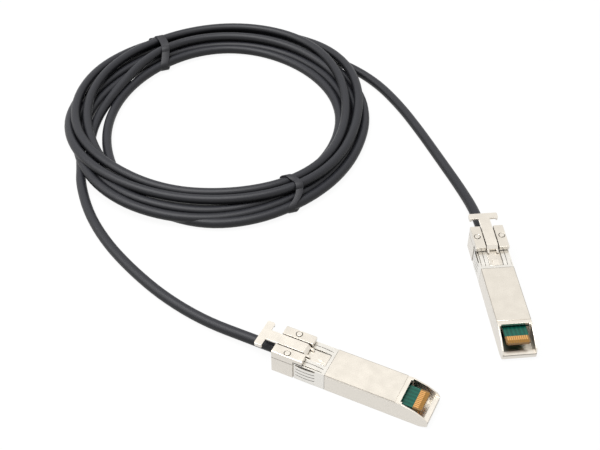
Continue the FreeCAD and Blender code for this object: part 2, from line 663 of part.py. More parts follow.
def latch_lever(name):
    """The sheet lever that releases the plug: crossbar, stem, guide feet and two tines."""
    body = new_body(name)
    high_z = head_top_z
    tine_low_z = latch_face_z + size("tine_lift")
    tine_high_z = tine_low_z + size("lever_sheet")
    bend_x = size("lever_tip_x") - size("lever_bend_length")
    step_x = bend_x + size("lever_bend_run")
    setback = size("lever_bend_setback")
    side = sketch_on(body, "XZ_Plane")
    outline(side, [(size("lever_rear_x"), high_z), (bend_x, high_z), (step_x, tine_high_z),
                   (size("lever_tip_x") - size("tine_bevel"), tine_high_z),
                   (size("lever_tip_x"), tine_low_z + size("tine_edge")),
                   (size("lever_tip_x"), tine_low_z),
                   (step_x - setback, tine_low_z), (bend_x - setback, lever_low_z),
                   (size("lever_rear_x"), lever_low_z)])
    pad(body, side, size("lever_width"), both_ways=True)

    half_bar = size("crossbar_width") / 2
    bar_front = size("lever_rear_x") + size("crossbar_length")
    block(body, (size("lever_rear_x"), -half_bar, lever_low_z), (bar_front, half_bar, high_z))
    lip_low_z = lever_low_z - size("crossbar_lip")
    block_pair(body, (size("lever_rear_x"), half_bar - size("lever_sheet"), lip_low_z),
               (bar_front, half_bar, lever_low_z))

    leg_y = half_lever - size("lever_sheet")
    block_pair(body, (size("foot_rear_x"), leg_y, foot_low_z),
               (foot_front_x, half_lever, lever_low_z))
    block_pair(body, (size("foot_rear_x"), half_lever, foot_low_z),
               (foot_front_x, foot_y, foot_high_z))

    half_gap = size("tine_gap") / 2
    block(body, (step_x, -half_gap, tine_low_z - OVERCUT),
          (size("lever_tip_x") + OVERCUT, half_gap, tine_high_z + OVERCUT), cut=True)
    doc.recompute()

    rear_x = size("lever_rear_x").number
    front_x = bar_front.number
    end_y = half_bar.number

    def bar_corner(point):
        return (near(point.x, rear_x) or near(point.x, front_x)) and near(abs(point.y), end_y)

    upright = [number for number in edges_where(body.Shape, bar_corner)
               if is_upright(body.Shape, number)]
    round_edges(body, upright, size("crossbar_round"))
    return body


def is_upright(shape, edge_name):
    """Whether a straight edge runs along Z."""
    edge = shape.Edges[int(edge_name[4:]) - 1]
    return near(edge.Vertexes[0].Point.x, edge.Vertexes[1].Point.x) and near(
        edge.Vertexes[0].Point.y, edge.Vertexes[1].Point.y)


def turned_ring(name, profile):
    """A ring turned about the cable's axis; profile gives (x, radius) corners."""
    body = new_body(name)
    sketch = sketch_on(body, "XY_Plane", cable_z)
    outline(sketch, profile)
    ring = body.newObject("PartDesign::Revolution", "Revolution")
    ring.Profile = sketch
    ring.ReferenceAxis = (sketch, ["H_Axis"])
    ring.Angle = 360.0
    return body


def crimp_ferrule(name):
    half = size("ferrule_length") / 2
    low_x = ferrule_middle_x - half
    high_x = ferrule_middle_x + half
    mouth = size("ferrule_flare")
    flare_x = size("cradle_length") / 2 + size("ferrule_bell")
    return turned_ring(name, [(low_x, ferrule_in), (high_x, ferrule_in),
                              (high_x, ferrule_out + mouth),
                              (ferrule_middle_x + flare_x, ferrule_out),
                              (ferrule_middle_x - flare_x, ferrule_out),
                              (low_x, ferrule_out + mouth)])


def folded_braid(name):
    high_x = size("jacket_end_x")
    low_x = high_x - size("braid_length")
    return turned_ring(name, [(low_x, braid_in), (high_x, braid_in),
                              (high_x, braid_out), (low_x, braid_out)])


def rivet(side):
    """One rivet, turned about its own upright axis."""
    top = head_top_z + size("rivet_stand")
    head = doc.addObject("Part::Cylinder", "RivetHead")
    bind(head, "Radius", size("rivet_head"))
    bind(head, "Height", size("rivet_head_wall"))
    shank = doc.addObject("Part::Cylinder", "RivetShank")
    bind(shank, "Radius", size("rivet_shank"))
    bind(shank, "Height", size("rivet_depth") - size("rivet_head_wall"))
    for piece, low_z in ((head, rivet_seat_z), (shank, top - size("rivet_depth"))):
        bind(piece, "Placement.Base.x", size("rivet_x"))
        bind(piece, "Placement.Base.y", side * rivet_y)
        bind(piece, "Placement.Base.z", low_z)
    whole = doc.addObject("Part::Fuse", "Rivet")
    whole.Base = head
    whole.Tool = shank
    return whole


def rivets(name):
    group = doc.addObject("Part::Compound", name)
    group.Links = [rivet(1.0), rivet(-1.0)]
    return group


def circuit_board(name):
    """The board: wide inside the shell, with a narrower tongue that carries the contacts."""
    body = new_body(name)
    sketch = sketch_on(body, "XY_Plane", board_low_z)
    tongue = half_board - size("tongue_step")
    cut = size("board_corner")
    outline(sketch, [(size("board_rear_x"), -half_board), (size("tongue_rear_x"), -half_board),
                     (size("tongue_rear_x"), -tongue), (size("board_end_x") - cut, -tongue),
                     (size("board_end_x"), cut - tongue), (size("board_end_x"), tongue - cut),
                     (size("board_end_x") - cut, tongue), (size("tongue_rear_x"), tongue),
                     (size("tongue_rear_x"), half_board), (size("board_rear_x"), half_board)])
    pad(body, sketch, size("board_wall"))
    return body


def plain_block(name, low, lengths):
    """A Part box with its corner and its three lengths bound to sizes."""
    box = doc.addObject("Part::Box", name)
    for prop, value in zip(("Length", "Width", "Height"), lengths):
        bind(box, prop, value)
    for axis, value in zip("xyz", low):
        bind(box, "Placement.Base.%s" % axis, value)
    return box


def contact_pads(name):
    """Ten gold pads on each face of the board's tongue."""
    rear_x = size("board_end_x") - size("pad_inset") - size("pad_length")
    pads = []
    for index in range(PADS_PER_FACE):
        offset = index - (PADS_PER_FACE - 1) / 2
        low_y = offset * size("pad_pitch") - size("pad_width") / 2
        for low_z in (board_high_z, board_low_z - size("pad_wall")):
            pads.append(plain_block("Pad", (rear_x, low_y, low_z),
                                    (size("pad_length"), size("pad_width"), size("pad_wall"))))
    group = doc.addObject("Part::Compound", name)
    group.Links = pads
    return group


def memory_chip(name):
    low_z = board_low_z - size("chip_wall")
    chip = plain_block("ChipBody", (size("chip_x"), -(size("chip_width") / 2), low_z),
                       (size("chip_length"), size("chip_width"), size("chip_wall")))
    doc.recompute()
    edge = doc.addObject("Part::Chamfer", name)
    edge.Base = chip
    low = low_z.number
    names = edges_where(chip.Shape, lambda point: near(point.z, low))
    cut = size("chip_chamfer").number
    edge.Edges = [(int(item[4:]), cut, cut) for item in names]
    return edge


def coupling_capacitors(name):
    pieces = []
    for index in range(CAPACITORS):
        offset = index - (CAPACITORS - 1) / 2
        low_y = offset * size("capacitor_pitch") - size("capacitor_width") / 2
        pieces.append(plain_block("Capacitor", (size("capacitor_x"), low_y, board_high_z),
                                  (size("capacitor_length"), size("capacitor_width"),
                                   size("capacitor_width"))))
    group = doc.addObject("Part::Compound", name)
    group.Links = pieces
    return group


# Tubes

def tube_path(points):
    """Straight runs joined by tangent arcs, each arc as large as its two runs allow."""
    points = [Vector(*point) for point in points]
    edges = []
    radii = []
    start = points[0]
    for before, corner, after in zip(points, points[1:], points[2:]):
        inward = (corner - before).normalize()
        outward = (after - corner).normalize()
        turn = inward.getAngle(outward)
        reach = ARC_SHARE * min((corner - before).Length, (after - corner).Length)
        radii.append(reach / math.tan(turn / 2))
        arc_start = corner - inward * reach
        arc_end = corner + outward * reach
        bisector = (outward - inward).normalize()
        centre = corner + bisector * (reach / math.sin(turn / 2))
        middle = centre - bisector * radii[-1]
        edges.append(Part.LineSegment(start, arc_start).toShape())
        edges.append(Part.Arc(arc_start, middle, arc_end).toShape())
        start = arc_end
    edges.append(Part.LineSegment(start, points[-1]).toShape())
    return Part.Wire(edges), radii


def tube(points, radius, flats, label):
    """A plain tube with many flats along a route; its volume is compared with its section
    times its length."""
    path, radii = tube_path(points)
    start = Vector(*points[0])
    heading = (Vector(*points[1]) - start).normalize()
    across = Vector(0, 0, 1).cross(heading).normalize()
    upward = heading.cross(across)
    corners = []
    for index in range(round(flats) + 1):
        angle = 2 * math.pi * (index + 0.5) / flats
        corners.append(start + across * (radius * math.cos(angle))
                       + upward * (radius * math.sin(angle)))
    section = Part.Face(Part.makePolygon(corners))
    solid = path.makePipe(section)
    expected = section.Area * path.Length
    print("%s: length %.1f, smallest radius %.1f, volume over expected %.4f"
          % (label, path.Length, min(radii), solid.Volume / expected))
    return solid


def twinax_pairs(name):
    """Two shielded pairs from the jacket's end to the two faces of the board."""
    radius = size("pair_radius").number
    start_x = size("jacket_end_x").number + size("slot_gap").number
    height = cable_z.number
    rear_x = size("board_rear_x").number
    end_x = size("pair_end_x").number
    start_spread = size("pair_start_spread").number
    spread = size("pair_spread").number
    run = size("pair_run").number
    high_z = board_high_z.number + radius + size("fit_gap").number
    low_z = board_low_z.number - radius - size("fit_gap").number
    solids = []
    for side, rest_z in ((1.0, high_z), (-1.0, low_z)):
        solids.append(tube([(start_x, side * start_spread, height),
                            (start_x + run, side * start_spread, height),
                            (rear_x - run, side * spread, rest_z),
                            (end_x, side * spread, rest_z)], radius, PAIR_FLATS, name))
    group = doc.addObject("Part::Feature", name)
    group.Shape = Part.Compound(solids)
    return group


# Cable route on the table, in the part's frame. The first point is inside the plug.

axis_z = size("cable_radius").number + size("floor_gap").number
exit_z = cable_z.number
jacket_x = size("jacket_end_x").number
leave_x = size("head_rear_x").number - size("lead_straight").number

LEAD_A = [
    (jacket_x, 0.0, exit_z),
    (leave_x, 0.0, exit_z),
    (-50.0, 1.5, axis_z),
    (-71.0, 5.5, axis_z),
    (-91.0, 12.8, axis_z),
    (-109.0, 21.6, axis_z),
    (-125.5, 33.2, axis_z),
    (-139.5, 47.8, axis_z),
    (-151.0, 62.2, axis_z),
    (-160.0, 76.0, axis_z),
]

# The second lead starts on plug B's axis, so its first two points follow that plug's place.

place_b = PLUG_PLACES["b"]
start_b = place_b.multVec(Vector(jacket_x, 0.0, exit_z))
leave_b = place_b.multVec(Vector(leave_x, 0.0, exit_z))
LEAD_B = [
    tuple(start_b),
    tuple(leave_b),
    (13.6, 117.4, axis_z),
    (-1.7, 132.2, axis_z),
    (-17.2, 147.2, axis_z),
    (-33.4, 161.6, axis_z),
    (-50.6, 173.6, axis_z),
    (-69.0, 180.4, axis_z),
    (-88.0, 181.6, axis_z),
]


def cable_lead(name, points):
    lead = doc.addObject("Part::Feature", name)
    lead.Shape = tube(points, size("cable_radius").number, CABLE_FLATS, name)
    return lead


def bundle_section(sketch, grow):
    """The coil's section, a rectangle with its upper corners cut, grown by a wall."""
    low = size("coil_radius") - size("coil_width") / 2 - grow
    high = size("coil_radius") + size("coil_width") / 2 + grow
    top = size("coil_height") + grow
    corner = size("coil_corner") + CORNER_GROWTH * grow
    return outline(sketch, [(low, 0.0), (high, 0.0), (high, top - corner),
                            (high - corner, top), (low + corner, top), (low, top - corner)])


def cable_coil(name):
    """The closed solid of the coiled turns' outer shape."""
    body = new_body(name)
    sketch = sketch_on(body, "XZ_Plane")
    bundle_section(sketch, 0.0)
    ring = body.newObject("PartDesign::Revolution", "Revolution")
    ring.Profile = sketch
    ring.ReferenceAxis = (sketch, ["V_Axis"])
    ring.Angle = 360.0
    return body


def cable_tie(name):
    """A flat tie, bent round the bundle and lying on its top and its two sides."""
    body = new_body(name)
    sketch = sketch_on(body, "XZ_Plane")
    bundle_section(sketch, size("tie_wall"))
    band = body.newObject("PartDesign::Revolution", "Revolution")
    band.Profile = sketch
    band.ReferenceAxis = (sketch, ["V_Axis"])
    band.Midplane = True
    bind(band, "Angle", size("tie_width") / size("coil_radius") * math.degrees(1))
    inside = sketch_on(body, "XZ_Plane")
    bundle_section(inside, 0.0)
    hollow = body.newObject("PartDesign::Groove", "Groove")
    hollow.Profile = inside
    hollow.ReferenceAxis = (inside, ["V_Axis"])
    hollow.Angle = 360.0
    return body


# Build both plugs, the leads, the coil and its ties.

PLUG_PIECES = [
    ("base_shell", base_shell),
    ("cover_shell", cover_shell),
    ("spring_collar", spring_collar),
    ("latch_lever", latch_lever),
    ("rivets", rivets),
    ("circuit_board", circuit_board),
    ("contact_pads", contact_pads),
    ("memory_chip", memory_chip),
    ("coupling_capacitors", coupling_capacitors),
    ("crimp_ferrule", crimp_ferrule),
    ("folded_braid", folded_braid),
    ("twinax_pairs", twinax_pairs),
]

for plug, place in PLUG_PLACES.items():
    for piece_name, make in PLUG_PIECES:
        node_name = "%s_%s" % (piece_name, plug)
        finish(make(node_name), node_name, place)

finish(cable_lead("cable_lead_a", LEAD_A), "cable_lead_a")
finish(cable_lead("cable_lead_b", LEAD_B), "cable_lead_b")

coil_middle = Vector(size("coil_x").number, size("coil_y").number, 0)
finish(cable_coil("cable_coil"), "cable_coil", Placement(coil_middle, Rotation()))
for tie_name, tie_angle in (("coil_tie_1", "tie_first_angle"), ("coil_tie_2", "tie_second_angle")):
    turn_of_tie = Rotation(Vector(0, 0, 1), size(tie_angle).number)
    finish(cable_tie(tie_name), tie_name, Placement(coil_middle, turn_of_tie))

doc.recompute()

# Check every object, then write one file for each sub-part.

for item in doc.Objects:
    if "Invalid" in item.State or "Error" in item.State:
        raise RuntimeError("%s failed: %s" % (item.Label, item.State))

os.makedirs("parts", exist_ok=True)
for node in nodes:
    shape = node.Shape
    if shape.isNull() or not shape.isValid():
        raise RuntimeError("%s has no valid shape" % node.Label)
    shape.exportStep("parts/%s.step" % node.Label)
    box = shape.BoundBox
    print("%-24s solids %2d volume %9.2f  x %7.2f %7.2f  y %7.2f %7.2f  z %6.2f %6.2f"
          % (node.Label, len(shape.Solids), shape.Volume, box.XMin, box.XMax,
             box.YMin, box.YMax, box.ZMin, box.ZMax))
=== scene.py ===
import math

import bmesh
import bpy
from bpy.props import FloatProperty, FloatVectorProperty, PointerProperty
from mathutils import Matrix, Vector


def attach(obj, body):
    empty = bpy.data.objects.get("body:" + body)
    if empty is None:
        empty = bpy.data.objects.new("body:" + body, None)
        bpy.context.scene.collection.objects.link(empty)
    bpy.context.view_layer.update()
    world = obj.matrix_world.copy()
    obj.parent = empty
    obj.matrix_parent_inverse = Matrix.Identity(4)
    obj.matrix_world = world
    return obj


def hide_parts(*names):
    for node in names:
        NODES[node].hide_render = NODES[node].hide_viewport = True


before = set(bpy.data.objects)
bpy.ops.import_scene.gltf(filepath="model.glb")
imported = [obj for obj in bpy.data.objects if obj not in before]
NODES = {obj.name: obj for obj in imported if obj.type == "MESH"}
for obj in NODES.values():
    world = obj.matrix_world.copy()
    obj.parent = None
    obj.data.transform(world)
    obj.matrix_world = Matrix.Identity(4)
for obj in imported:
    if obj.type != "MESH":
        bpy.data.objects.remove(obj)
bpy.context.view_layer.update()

bl_info = {
    "name": "Direct attach copper cable",
    "version": (1, 0, 0),
    "blender": (4, 5, 0),
    "location": "View3D > Sidebar > Copper Cable",
    "description": "Dresses a coiled copper cable assembly with its two push-latch plugs",
    "category": "Add Mesh",
}

MM = 0.001
ENDS = ("a", "b")
FINISHES = {}                   # the materials by name, once the first step has made them
PLUG_PLACE = {
    "a": Matrix.Identity(4),
    "b": Matrix.Translation((41.87 * MM, 76.46 * MM, 0))
    @ Matrix.Rotation(math.radians(-58.8), 4, "Z"),
}

# ---------------------------------------------------------------- places on a plug

# In a plug's own frame x runs from its latch shoulder to its nose, y across it from its middle
# and z up from its label side.
CONTACT_ROWS_SPLIT = 40.2 * MM  # x between the two rows of contacts
BARE_BOARD_FROM = 38.2 * MM     # x where the lacquer ends behind them
EDGE_SUM = 14.97 * MM           # y and z together from which the long edges get painted shade
EDGE_SPAN = (3.6 * MM, 36.5 * MM)       # x over which they are
SEAM_HEIGHT = 7.5 * MM          # z of the shells' seam on the sides of the head
SEAM_HALF = 0.16 * MM           # half of that line's width
SEAM_BEHIND = 7.5 * MM          # how far behind the shoulder it begins
SEAM_ASIDE = 6.2 * MM           # y from which it is drawn
LIP_FROM = 44.88 * MM           # x of the nose's front face
LIP_HEIGHTS = (2.8 * MM, 3.4 * MM)      # z over which it gets painted shade
RIVET_BACK = 11.1 * MM          # how far behind the shoulder the rivets stand
RIVET_ASIDE = 5.1 * MM          # y of each rivet
RIVET_RING = 1.2 * MM           # radius of the groove round a rivet's head
RING_HALF = 0.18 * MM           # half of that groove's width
RIVET_TOP_FROM = 10.4 * MM      # z from which it is drawn

# ---------------------------------------------------------------- the cable's route

COIL_MIDDLE = Vector((-105.9 * MM, 114.5 * MM, 0))
CAMERA_TURN = 25.8          # the camera's direction in degrees; lanes count from its right
LANE_STEP = 15              # degrees from one row of lanes to the next
LANE_FIRST = 180            # direction of the first row; the cable runs clockwise from there
FULL_TURNS = 6              # turns that pass every row
# Each row is one direction across the bundle. Each pair is one turn's distance from the
# coil's middle and height over the table, in millimetres, from the first turn to the last.
LANES = (
    ((63.2, 2.2), (57.6, 2.2), (68.3, 2.2), (51.5, 2.2), (62.2, 6.2), (68.0, 6.5), (72.4, 2.4)),
    ((60.8, 2.2), (54.2, 4.2), (65.7, 2.2), (51.0, 2.2), (64.0, 6.3), (69.8, 6.2), (70.4, 2.2)),
    ((57.0, 2.6), (51.9, 6.8), (62.0, 2.6), (51.0, 2.6), (65.5, 6.8), (70.9, 5.6), (68.7, 2.6)),
    ((57.0, 3.1), (56.0, 7.2), (62.0, 3.1), (51.4, 3.1), (66.1, 7.2), (71.6, 4.4), (66.1, 3.1)),
    ((57.7, 3.1), (59.8, 7.1), (61.6, 3.1), (53.0, 3.1), (66.6, 7.0), (70.6, 3.1), (65.5, 3.1)),
    ((58.8, 3.1), (61.3, 7.0), (62.9, 3.1), (55.3, 3.1), (68.8, 7.0), (72.0, 3.1), (67.1, 3.1)),
    ((60.6, 2.6), (62.9, 6.5), (64.8, 2.6), (57.7, 2.6), (71.3, 6.5), (73.7, 2.6), (69.1, 2.6)),
    ((61.2, 2.2), (63.4, 6.1), (65.5, 2.2), (57.8, 2.2), (72.2, 6.2), (74.2, 2.3), (70.0, 2.2)),
    ((61.3, 2.2), (63.6, 6.0), (66.0, 2.2), (56.8, 2.2), (71.6, 6.5), (74.6, 3.2), (70.8, 2.2)),
    ((60.9, 2.2), (63.9, 5.2), (68.0, 2.2), (56.6, 2.2), (68.4, 7.2), (74.2, 6.0), (72.8, 2.2)),
    ((60.6, 2.2), (64.6, 3.2), (69.4, 2.2), (56.4, 2.2), (64.0, 7.2), (72.0, 6.5)),
    ((61.0, 2.2), (65.2, 2.2), (69.8, 2.2), (56.8, 2.2), (61.1, 6.4), (67.8, 6.3)),
    ((61.0, 2.2), (65.0, 2.2), (68.9, 2.2), (57.1, 2.2), (58.8, 6.2), (64.2, 6.2)),
    ((59.5, 2.2), (63.1, 2.2), (66.8, 2.2), (55.9, 2.2), (58.6, 6.1), (63.2, 6.1)),
    ((60.3, 2.6), (64.1, 2.6), (67.9, 2.6), (56.8, 2.6), (59.6, 6.5), (64.1, 6.5)),
    ((61.4, 3.1), (65.3, 3.1), (69.2, 3.1), (57.6, 3.1), (60.1, 7.0), (64.5, 7.0)),
    ((61.8, 3.1), (65.6, 3.1), (69.6, 3.1), (57.9, 3.1), (59.1, 7.0), (63.6, 7.0)),
    ((63.2, 3.1), (67.6, 3.1), (72.0, 3.1), (58.1, 3.1), (57.2, 7.0), (61.9, 7.0)),
    ((64.5, 2.6), (68.8, 2.6), (72.8, 2.6), (58.0, 2.6), (55.8, 6.4), (60.3, 6.5)),
    ((65.6, 4.2), (71.4, 5.0), (69.0, 2.2), (58.6, 2.4), (56.8, 6.2), (60.9, 6.4)),
    ((67.4, 5.7), (72.4, 5.2), (64.6, 2.2), (60.4, 3.3), (58.4, 7.0), (63.0, 7.1)),
    ((68.8, 5.4), (71.4, 6.0), (60.0, 2.2), (62.2, 5.6), (60.2, 8.9), (65.4, 8.2)),
    ((63.9, 3.6), (69.3, 5.0), (55.6, 2.2), (59.8, 4.6), (62.6, 8.3), (69.0, 8.0)),
    ((60.9, 2.3), (65.3, 2.4), (53.4, 2.2), (60.4, 6.3), (65.4, 7.0), (68.3, 6.0)),
)
LAST_TURN_ROWS = 9          # rows that the last turn takes before it leaves as a lead
ENTRY_LANES = ((69.2, 2.2), (64.4, 2.2))    # the lead from plug A, in the last two rows

# Both leads as in the CAD model, in millimetres, from inside each plug to the coil.
LEAD_A = (
    (-9, 0, 4.4), (-29, 0, 4.4), (-50, 1.5, 2.25), (-71, 5.5, 2.25), (-91, 12.8, 2.25),
    (-109, 21.6, 2.25), (-125.5, 33.2, 2.25), (-139.5, 47.8, 2.25),
)
LEAD_B_START = ((-9, 0, 4.4), (-29, 0, 4.4))    # in plug B's own frame
LEAD_B = (
    (13.6, 117.4, 2.25), (-1.7, 132.2, 2.25), (-17.2, 147.2, 2.25), (-33.4, 161.6, 2.25),
    (-50.6, 173.6, 2.25), (-69, 180.4, 2.25),
)
# Each tie's direction from the coil's middle and its twist from that spoke, in degrees, how far
# its middle bows along the strands, and its width, in millimetres.
TIES = ((148.2, -13, -3.2, 4.0), (-33.0, -14, 4.5, 3.4))
TIE_REACH = 64 * MM         # from the coil's middle to the middle of the bundle
TIE_STEPS = 120             # corners of a tie's outline
TIE_ROUNDING = 0.18 * MM    # rounding of a tie's rims
BUNDLE_REACH = 20 * MM      # no strand of the bundle lies farther from its middle
CORD_STEPS = 5              # pieces of the cable between two control points
CORD_ROUNDNESS = 6          # the jacket has twice as many sides and four more


def smoothed(rows):
    """Each pair of numbers averaged with its neighbours, so that no strand has a kink."""
    out = [rows[0]]
    for before, here, after in zip(rows, rows[1:], rows[2:]):
        out.append(tuple((a + 2 * b + c) / 4 for a, b, c in zip(before, here, after)))
    return out + [rows[-1]]


def coil_points():
    """Control points of the coil's turns, in the order in which the cable runs."""
    last = len(LANES) - len(ENTRY_LANES)
    lanes = [(last - len(LANES) + i, lane) for i, lane in enumerate(ENTRY_LANES)]
    for turn in range(len(LANES[0])):
        for row, strands in enumerate(LANES):
            if turn < len(strands) and (turn < FULL_TURNS or row < LAST_TURN_ROWS):
                lanes.append((turn * len(LANES) + row, strands[turn]))
    eased = smoothed([lane for _, lane in lanes])
    grow = 1 / math.cos(math.radians(LANE_STEP / 2))
    points = []
    for (row, _), (radius, height) in zip(lanes, eased):
        turn = math.radians(LANE_FIRST + CAMERA_TURN - LANE_STEP * row)
        spoke = Vector((math.cos(turn), math.sin(turn), 0)) * radius * grow * MM
        points.append(COIL_MIDDLE + spoke + Vector((0, 0, height * MM)))
    return points


def route_points():
    """The whole cable, from inside plug A round the coil into plug B."""
    start = [Vector(p) * MM for p in LEAD_A]
    end = [PLUG_PLACE["b"] @ (Vector(p) * MM) for p in LEAD_B_START]
    end += [Vector(p) * MM for p in LEAD_B]
    return start + coil_points() + end[::-1]


# ---------------------------------------------------------------- materials

GAP_SHADE_BROWN = (0.07, 0.052, 0.038)        # painted shade, a dull brown, in a metal's gaps
BOARD_LIGHT = (0.004, 0.11, 0.075)      # lacquer over the tracks
BOARD_SHADE = (0, 0.01, 0.008)          # painted shade on the lacquer deep inside the nose
BOARD_TAN = (0.22, 0.12, 0.04)          # the bare board round the contacts
GOLD = (0.82, 0.43, 0.15)
GOLD_DEEP = (0.33, 0.17, 0.04)


class Signal:
    """One socket of a material, with the arithmetic that its masks need."""

    def __init__(self, finish, socket):
        self.finish = finish
        self.socket = socket

    def _math(self, operation, *values):
        node = self.finish.add("ShaderNodeMath", {"operation": operation},
                               {i: v for i, v in enumerate(values)})
        return Signal(self.finish, node.outputs[0])

    def __add__(self, other): return self._math("ADD", self, other)
    def __radd__(self, other): return self._math("ADD", other, self)
    def __sub__(self, other): return self._math("SUBTRACT", self, other)
    def __rsub__(self, other): return self._math("SUBTRACT", other, self)
    def __mul__(self, other): return self._math("MULTIPLY", self, other)
    def __pow__(self, other): return self._math("POWER", self, other)
    def over(self, limit): return self._math("GREATER_THAN", self, limit)
    def under(self, limit): return self._math("LESS_THAN", self, limit)
    def size(self): return self._math("ABSOLUTE", self)
    def clamped(self): return self._math("MAXIMUM", self._math("MINIMUM", self, 1.0), 0.0)


class Finish:
    """A procedural material on object coordinates, turned with a plug where one is named."""

    def __init__(self, name, end=None, **constants):
        self.material = bpy.data.materials.new(name)
        self.material.use_nodes = True
        self.tree = self.material.node_tree
        self.tree.nodes.clear()
        self.shader = self.add("ShaderNodeBsdfPrincipled", values=constants)
        self.output = self.add("ShaderNodeOutputMaterial",
                               values={"Surface": self.shader.outputs["BSDF"]})
        self.place = self.add("ShaderNodeTexCoord").outputs["Object"]
        if end:
            spot = PLUG_PLACE[end]
            self.place = self.add("ShaderNodeMapping", {"vector_type": "TEXTURE"}, {
                "Vector": self.place, "Location": spot.translation,
                "Rotation": spot.to_euler()}).outputs[0]

    def add(self, kind, settings=None, values=None):
        """A node of that type, with its settings first and then its sockets' values or links."""
        node = self.tree.nodes.new(kind)
        for name, value in (settings or {}).items():
            setattr(node, name, value)
        for name, value in (values or {}).items():
            socket = node.inputs[name.replace("_", " ") if isinstance(name, str) else name]
            value = value.socket if isinstance(value, Signal) else value
            if isinstance(value, bpy.types.NodeSocket):
                self.tree.links.new(value, socket)
            else:
                socket.default_value = value
        return node

    def noise(self, scale, detail=2.0):
        """Noise with that many spots to the metre."""
        node = self.add("ShaderNodeTexNoise", values={
            "Vector": self.place, "Scale": scale, "Detail": detail, "Roughness": 0.5})
        return Signal(self, node.outputs["Fac"])

    def between(self, mask, low, high):
        """A colour between two, by a mask."""
        ends = [c if isinstance(c, Signal) else (*c, 1) for c in (low, high)]
        node = self.add("ShaderNodeMix", {"data_type": "RGBA"}, {0: mask, 6: ends[0], 7: ends[1]})
        return Signal(self, node.outputs[2])

    def set(self, **links):
        """Link masks and colours to the shader's sockets."""
        for name, value in links.items():
            self.tree.links.new(value.socket, self.shader.inputs[name.replace("_", " ")])

    def bump(self, height, strength, distance):
        """Relief that follows a mask."""
        node = self.add("ShaderNodeBump", values={
            "Strength": strength, "Distance": distance, "Height": height})
        self.tree.links.new(node.outputs["Normal"], self.shader.inputs["Normal"])

    def edge(self, radius):
        """A mask that rises along the outer and inner edges and is zero on the flats."""
        soft = self.add("ShaderNodeBevel", {"samples": 4}, {"Radius": radius})
        hard = self.add("ShaderNodeNewGeometry")
        dot = self.add("ShaderNodeVectorMath", {"operation": "DOT_PRODUCT"},
                       {0: soft.outputs["Normal"], 1: hard.outputs["Normal"]})
        return 1 - Signal(self, dot.outputs["Value"])

    def crevice(self, reach):
        """A mask that is one deep in gaps no wider than that and zero in the open."""
        shut = self.add("ShaderNodeAmbientOcclusion", {"samples": 8}, {"Distance": reach})
        return 1 - Signal(self, shut.outputs["AO"])

    def upward(self):
        """One where the surface faces up, a half on its sides and zero underneath."""
        facing = self.add("ShaderNodeSeparateXYZ", values={
            "Vector": self.add("ShaderNodeNewGeometry").outputs["Normal"]})
        return Signal(self, facing.outputs["Z"]) * 0.5 + 0.5


def seam_shade_lines(finish):
    """A mask of painted shade on a plug's dark lines: its shells' seams, the lip of its nose, its
    rivets' rings.
    """
    place = finish.add("ShaderNodeSeparateXYZ", values={"Vector": finish.place})
    x, y, z = (Signal(finish, place.outputs[axis]) for axis in "XYZ")
    aside = y.size()
    edges = (aside + z).over(EDGE_SUM) * x.over(EDGE_SPAN[0]) * x.under(EDGE_SPAN[1])
    seam = (z - SEAM_HEIGHT).size().under(SEAM_HALF) * x.under(-SEAM_BEHIND)
    lip = x.over(LIP_FROM) * z.over(LIP_HEIGHTS[0]) * z.under(LIP_HEIGHTS[1])
    out = ((x + RIVET_BACK) ** 2 + (aside - RIVET_ASIDE) ** 2) ** 0.5
    ring = (out - RIVET_RING).size().under(RING_HALF) * z.over(RIVET_TOP_FROM)
    return edges + seam * aside.over(SEAM_ASIDE) + lip + ring


def metal(name, colour, shade, roughness, grain=6000, depth=0.15, end=None):
    """Plated or bare metal: cloudy plating, a fine grain, painted shade that greys its sides and
    painted brown shade in its gaps.
    """
    finish = Finish(name, end, Metallic=1.0, IOR=1.45)
    cloud = finish.noise(260, 3.0)
    speck = finish.noise(grain, 4.0)
    rim = finish.edge(0.1 * MM)
    # painted shade: the sides greyer and darker than the tops
    sides = (1.2 - finish.upward() * 1.4).clamped()
    # painted shade: dull brown in gaps, seams and rings, where shade falls
    gap_shade = (finish.crevice(0.9 * MM) * 2.4 - 1.05).clamped()
    if end:
        # painted shade along the shells' seams, the nose's lip and the rivets' rings
        gap_shade = (gap_shade + seam_shade_lines(finish) * 0.6).clamped()
    side_shade_grey = tuple(0.86 * (0.5 * c + 0.5 * sum(colour) / 3) for c in colour)
    bright = tuple(min(1.0, c * 1.05) for c in colour)
    tone = finish.between(cloud * 0.75 + speck * 0.25, shade, colour)
    tone = finish.between(sides, tone, side_shade_grey)
    tone = finish.between(rim * 0.5, tone, bright)
    finish.set(Base_Color=finish.between(gap_shade, tone, GAP_SHADE_BROWN),
               Roughness=(roughness + cloud * 0.1 + speck * 0.1 - 0.1 + gap_shade * 0.3
                          + (rim * 8).clamped() * 0.35))
    finish.bump(speck, depth, 0.02 * MM)
    return finish.material


def moulded(name, colour, light, roughness):
    """Moulded or extruded plastic: faint colour drift, a matt grain and slow waves of gloss."""
    finish = Finish(name, IOR=1.5)
    drift = finish.noise(90, 2.0)
    skin = finish.noise(3000, 3.0)
    finish.set(Base_Color=finish.between(drift * 0.6 + skin * 0.4, colour, light),
               Roughness=roughness + (drift - 0.5) * 0.12 + (skin - 0.5) * 0.12)
    finish.bump(skin, 0.1, 0.03 * MM)
    return finish.material


def jacket_rubber(name, colour, roughness, grain, depth):
    """Black jacket: painted light that makes its top faintly pale, painted shade that makes its
    sides deep black.
    """
    finish = Finish(name, IOR=1.5, Specular_IOR_Level=0.32)
    drift = finish.noise(90, 2.0)
    skin = finish.noise(grain, 3.0)
    # painted light on the tops of the strands, painted shade on their sides
    top_light = finish.upward() ** 3 * (drift * 0.3 + 0.85)
    deep = tuple(c * 0.12 for c in colour)
    finish.set(Base_Color=finish.between(top_light.clamped(), deep, colour),
               Roughness=roughness + (drift - 0.5) * 0.12 + (skin - 0.5) * 0.12)
    finish.bump(skin, depth, 0.03 * MM)
    return finish.material


